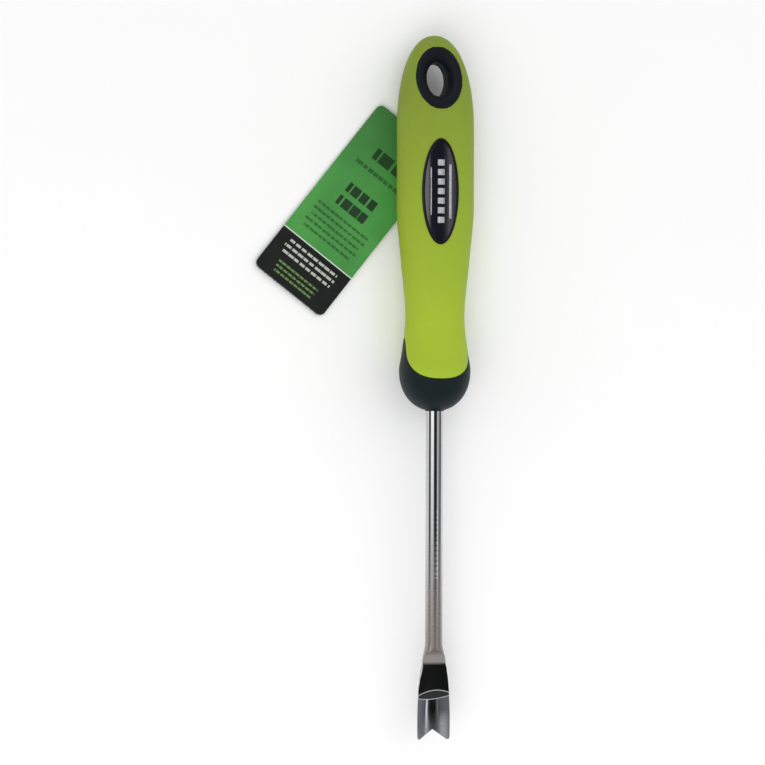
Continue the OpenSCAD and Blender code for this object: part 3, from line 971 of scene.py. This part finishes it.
def makeTagCard():
    t = tag
    halfW, top, bottom = t["width"] / 2, t["holeDown"], t["holeDown"] - t["length"]
    c = t["corner"]
    outline = []
    corners = [(halfW - c, top - c, 0), (-halfW + c, top - c, 90), (-halfW + c, bottom + c, 180),
               (halfW - c, bottom + c, 270)]
    for k, (cx, cy, start) in enumerate(corners):
        for j in range(9):
            a = math.radians(start + 90 * j / 8)
            outline.append((cx + c * math.cos(a), cy + c * math.sin(a)))
        nx, ny, nStart = corners[(k + 1) % 4]
        a = math.radians(nStart)
        x1, y1 = nx + c * math.cos(a), ny + c * math.sin(a)
        x0, y0 = outline[-1]
        steps = 14 if k in (1, 3) else 7
        for j in range(1, steps):
            outline.append((x0 + (x1 - x0) * j / steps, y0 + (y1 - y0) * j / steps))
    bm = bmesh.new()
    uvLayer = bm.loops.layers.uv.new("cardMm")
    edgeLayer = bm.verts.layers.float.new("boardEdge")

    def place(x, y, up, edge):
        far = max(0.0, -y - 25) / 65
        lift = t["curl"] * far * far * (0.6 - 0.4 * x / halfW)
        ca, sa = math.cos(t["angle"]), math.sin(t["angle"])
        wx = tagHinge[0] + x * ca + y * sa
        wy = tagHinge[1] - x * sa + y * ca
        v = bm.verts.new((wx / 1000, wy / 1000, (t["bottomZ"] + up + lift) / 1000))
        v[edgeLayer] = edge
        return v, (x, y)

    flat = {}
    layers = []
    for up in (0.0, t["thick"]):
        rings = []
        for s in [0, 0.04, 0.1, 0.18] + [0.18 + 0.8 * k / 22 for k in range(1, 23)] + [0.993, 1.0]:
            ring = []
            for x, y in outline:
                r = math.hypot(x, y)
                hx, hy = x / r * t["hole"], y / r * t["hole"]
                edge = 1.0 if s in (0, 1.0) else 0.0
                v, xy = place(hx + (x - hx) * s, hy + (y - hy) * s, up, edge)
                flat[v] = xy
                ring.append(v)
            rings.append(ring)
        layers.append(rings)
    lower, upper = layers
    for rings in layers:
        for a, b in zip(rings, rings[1:]):
            joinRings(bm, a, b)
    joinRings(bm, lower[0], upper[0])
    joinRings(bm, upper[-1], lower[-1])
    for f in bm.faces:
        for loop in f.loops:
            x, y = flat[loop.vert]
            loop[uvLayer].uv = ((x + halfW) / 100, (top - y) / 100)
    return makePiece("tagCard", bm, cardMaterial(), "tag", "tag_card")


makeGripSleeve()
print("grip done")
makeEndBolster()
makeHangEyelet()
print("dark mouldings done")
makeBadge()
print("badge done")
makeForgedBar()
print("bar done")
makeTagCard()
print("tag done")
core = frame["nodes"]["handle_core"]
core.data.materials.clear()
core.data.materials.append(charcoalRubber)


floorLook = {
    "z": axisZ - handle["bulbRadius"] - 0.02,
    "reach": 4.0,
    "dark": (0.925, 0.925, 0.925, 1),
    "light": (0.935, 0.935, 0.935, 1),
}


def makeFloor():
    material, g, s = newMaterial("paleFloor")
    coords = g.objectCoords()
    tone = g.mapRange(g.noise(coords, 12.0, 3.0), 0.3, 0.7, 0.0, 1.0)
    g.put(s["Base Color"], g.mix(tone, floorLook["dark"], floorLook["light"]))
    s["Roughness"].default_value = 0.85
    s["Specular IOR Level"].default_value = 0.1
    bm = bmesh.new()
    bmesh.ops.create_grid(bm, x_segments=8, y_segments=8, size=floorLook["reach"])
    bmesh.ops.translate(bm, verts=bm.verts, vec=(-0.03, -0.14, floorLook["z"] / 1000))
    mesh = bpy.data.meshes.new("floor")
    bm.to_mesh(mesh)
    bm.free()
    floor = bpy.data.objects.new("floor", mesh)
    bpy.context.scene.collection.objects.link(floor)
    floor.data.materials.append(material)


# The light tent that the polished steel reflects: (degrees round the tool's long axis, level)
tent = {
    "bands": ((-180, 0.5), (-112, 0.4), (-92, 0.08), (-62, 0.03), (-56, 1.45), (-23, 1.65), (-15, 0.03),
              (14, 0.02), (24, 0.2), (32, 0.8), (42, 0.75), (52, 0.32), (84, 0.1), (180, 0.4)),
    # Lower down, where the view slants more, it is dim and cool with one narrow bright strip
    "lowBands": ((-180, 0.3), (-100, 0.25), (-60, 0.2), (-30, 0.14), (-12, 0.1), (-8, 0.3), (-4, 0.09),
                 (2, 0.008), (22, 0.008), (29, 0.1), (33, 1.15), (41, 1.15), (45, 0.12), (90, 0.28),
                 (180, 0.3)),
    "lowTint": (0.9, 0.95, 1.0),
    "end": (0.05, 0.052, 0.056, 1),
    "level": 0.80,        # how strongly the world lights what isn't polished
}


def fillRamp(ramp, bands, tint):
    elements = ramp.color_ramp.elements
    while len(elements) < len(bands):
        elements.new(0.5)
    for element, (degrees, level) in zip(elements, bands):
        element.position = (degrees + 180) / 360
        element.color = (level * tint[0], level * tint[1], level * tint[2], 1)


def makeWorld():
    world = bpy.data.worlds.new("studio")
    bpy.context.scene.world = world
    world.use_nodes = True
    world.node_tree.nodes.clear()
    g = Graph(world.node_tree)
    direction = g.add("ShaderNodeTexCoord").outputs["Generated"]
    x, y, z = g.split(direction)
    turn = g.math("ARCTAN2", x, z)
    share = g.mapRange(turn, -math.pi, math.pi, 0.0, 1.0)
    ramp = g.add("ShaderNodeValToRGB", {"Fac": share})
    fillRamp(ramp, tent["bands"], (1, 1, 1))
    lowRamp = g.add("ShaderNodeValToRGB", {"Fac": share})
    fillRamp(lowRamp, tent["lowBands"], tent["lowTint"])
    seen = g.mix(g.mapRange(y, -0.02, -0.14, 0.0, 1.0), ramp.outputs[0], lowRamp.outputs[0])
    seen = g.mix(g.mapRange(y, -0.35, -0.6, 0.0, 1.0), seen, tent["end"])
    path = g.add("ShaderNodeLightPath").outputs

    def background(colour, strength):
        return g.add("ShaderNodeBackground", {"Color": colour, "Strength": strength}).outputs[0]

    def choose(ray, otherwise, chosen):
        return g.add("ShaderNodeMixShader", {0: path[ray], 1: otherwise, 2: chosen}).outputs[0]

    paleWhite = (1, 1, 1, 1)
    lit = choose("Is Glossy Ray", background(paleWhite, tent["level"]), background(seen, 1.0))
    lit = choose("Is Camera Ray", lit, background(paleWhite, 1.0))
    out = g.add("ShaderNodeOutputWorld")
    g.put(out.inputs["Surface"], lit)


lamps = {
    "aim": (-0.02, -0.14, 0),
    "keyLight": ((-0.35, -0.75, 0.9), 0.9, 4.2),     # place, size and power
    "fillLight": ((0.7, 0.2, 0.9), 1.0, 1.6),
}


def makeLights():
    for name in ("keyLight", "fillLight"):
        place, size, power = lamps[name]
        light = bpy.data.lights.new(name, "AREA")
        light.shape = "SQUARE"
        light.size = size
        light.energy = power
        obj = bpy.data.objects.new(name, light)
        bpy.context.scene.collection.objects.link(obj)
        obj.location = place
        towards = Vector(lamps["aim"]) - Vector(place)
        obj.rotation_euler = towards.to_track_quat("-Z", "Y").to_euler()
        obj.visible_glossy = False


cameraSpot = {
    "target": Vector((-0.0247, -0.1413, axisZ / 1000)),
    "distance": 0.95,
    "side": math.radians(9.5),    # how far round to the tool's left the camera stands
    "span": 0.356,                # width of what it sees at the target
    "roll": math.radians(0.2),
    "sensor": 36,
}


def makeCamera():
    data = bpy.data.cameras.new("camera")
    camera = bpy.data.objects.new("camera", data)
    bpy.context.scene.collection.objects.link(camera)
    back = Vector((-math.sin(cameraSpot["side"]), 0, math.cos(cameraSpot["side"])))
    camera.location = cameraSpot["target"] + back * cameraSpot["distance"]
    right = Vector((0, 1, 0)).cross(back).normalized()
    up = back.cross(right)
    c, s = math.cos(cameraSpot["roll"]), math.sin(cameraSpot["roll"])
    rolledRight, rolledUp = right * c + up * s, up * c - right * s
    camera.rotation_euler = Matrix((rolledRight, rolledUp, back)).transposed().to_euler()
    data.sensor_width = cameraSpot["sensor"]
    data.lens = cameraSpot["sensor"] * cameraSpot["distance"] / cameraSpot["span"]
    data.clip_start = 0.05
    data.clip_end = 20
    bpy.context.scene.camera = camera


makeFloor()
makeWorld()
makeLights()
makeCamera()
bpy.context.scene.view_settings.view_transform = "Standard"
print("stage done")
